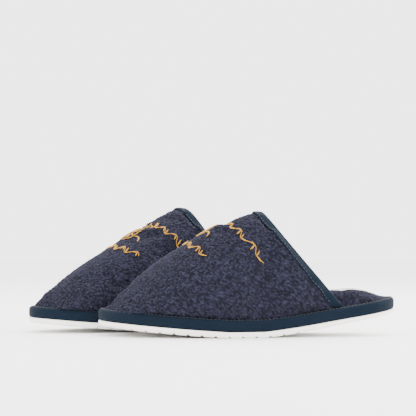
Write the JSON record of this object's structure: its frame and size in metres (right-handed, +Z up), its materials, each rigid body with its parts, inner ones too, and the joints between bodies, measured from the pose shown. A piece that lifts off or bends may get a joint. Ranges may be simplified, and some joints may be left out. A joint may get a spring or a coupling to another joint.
{
  "type": "spa slippers",
  "caption": "Pair of closed-toe padded terry slippers with taped edges, rocker foam soles and gold embroidery on the upper.",
  "frame": {"origin": "middle of the pair's footprint, on the ground", "axes": "+Z up; the left slipper points its toe towards -Y and lies on the +X side, the right slipper lies on the -X side, ahead of it and toed in"},
  "size_m": [0.2298, 0.3538, 0.1194],
  "materials": {
    "outsole": "moulded foam, off-white, matte",
    "tape": "woven tape, dark teal navy",
    "terry": "looped terry, dark navy",
    "foam": "soft foam, unseen",
    "board": "pressed fibre board, unseen",
    "lining": "plain woven lining",
    "backing": "embroidery stabiliser, unseen",
    "gold_thread": "satin-stitched thread, glossy gold",
    "label": "woven label, white",
    "thread": "sewing thread, dark navy"
  },
  "bodies": {
    "left_slipper": {"left_outsole": "outsole", "left_sole_tape": "tape", "left_midsole_foam": "foam", "left_insole_board": "board", "left_insole_pad": "foam", "left_insole_terry": "terry", "left_insole_label": "label", "left_edge_seam_thread": "thread", "left_upper_terry": "terry", "left_upper_padding": "foam", "left_upper_lining": "lining", "left_topline_binding": "tape", "left_topline_thread": "thread", "left_embroidery_crest": "gold_thread", "left_embroidery_backing": "backing", "left_upper_scroll": "gold_thread", "left_lower_scroll": "gold_thread"},
    "right_slipper": {"right_outsole": "outsole", "right_sole_tape": "tape", "right_midsole_foam": "foam", "right_insole_board": "board", "right_insole_pad": "foam", "right_insole_terry": "terry", "right_insole_label": "label", "right_edge_seam_thread": "thread", "right_upper_terry": "terry", "right_upper_padding": "foam", "right_upper_lining": "lining", "right_topline_binding": "tape", "right_topline_thread": "thread", "right_embroidery_crest": "gold_thread", "right_embroidery_backing": "backing", "right_upper_scroll": "gold_thread", "right_lower_scroll": "gold_thread"}
  },
  "joints": [
    {"name": "right_stride", "type": "slide", "parent": "left_slipper", "child": "right_slipper", "axis": [0, -1, 0], "range_m": [0, 0.35]}
  ]
}
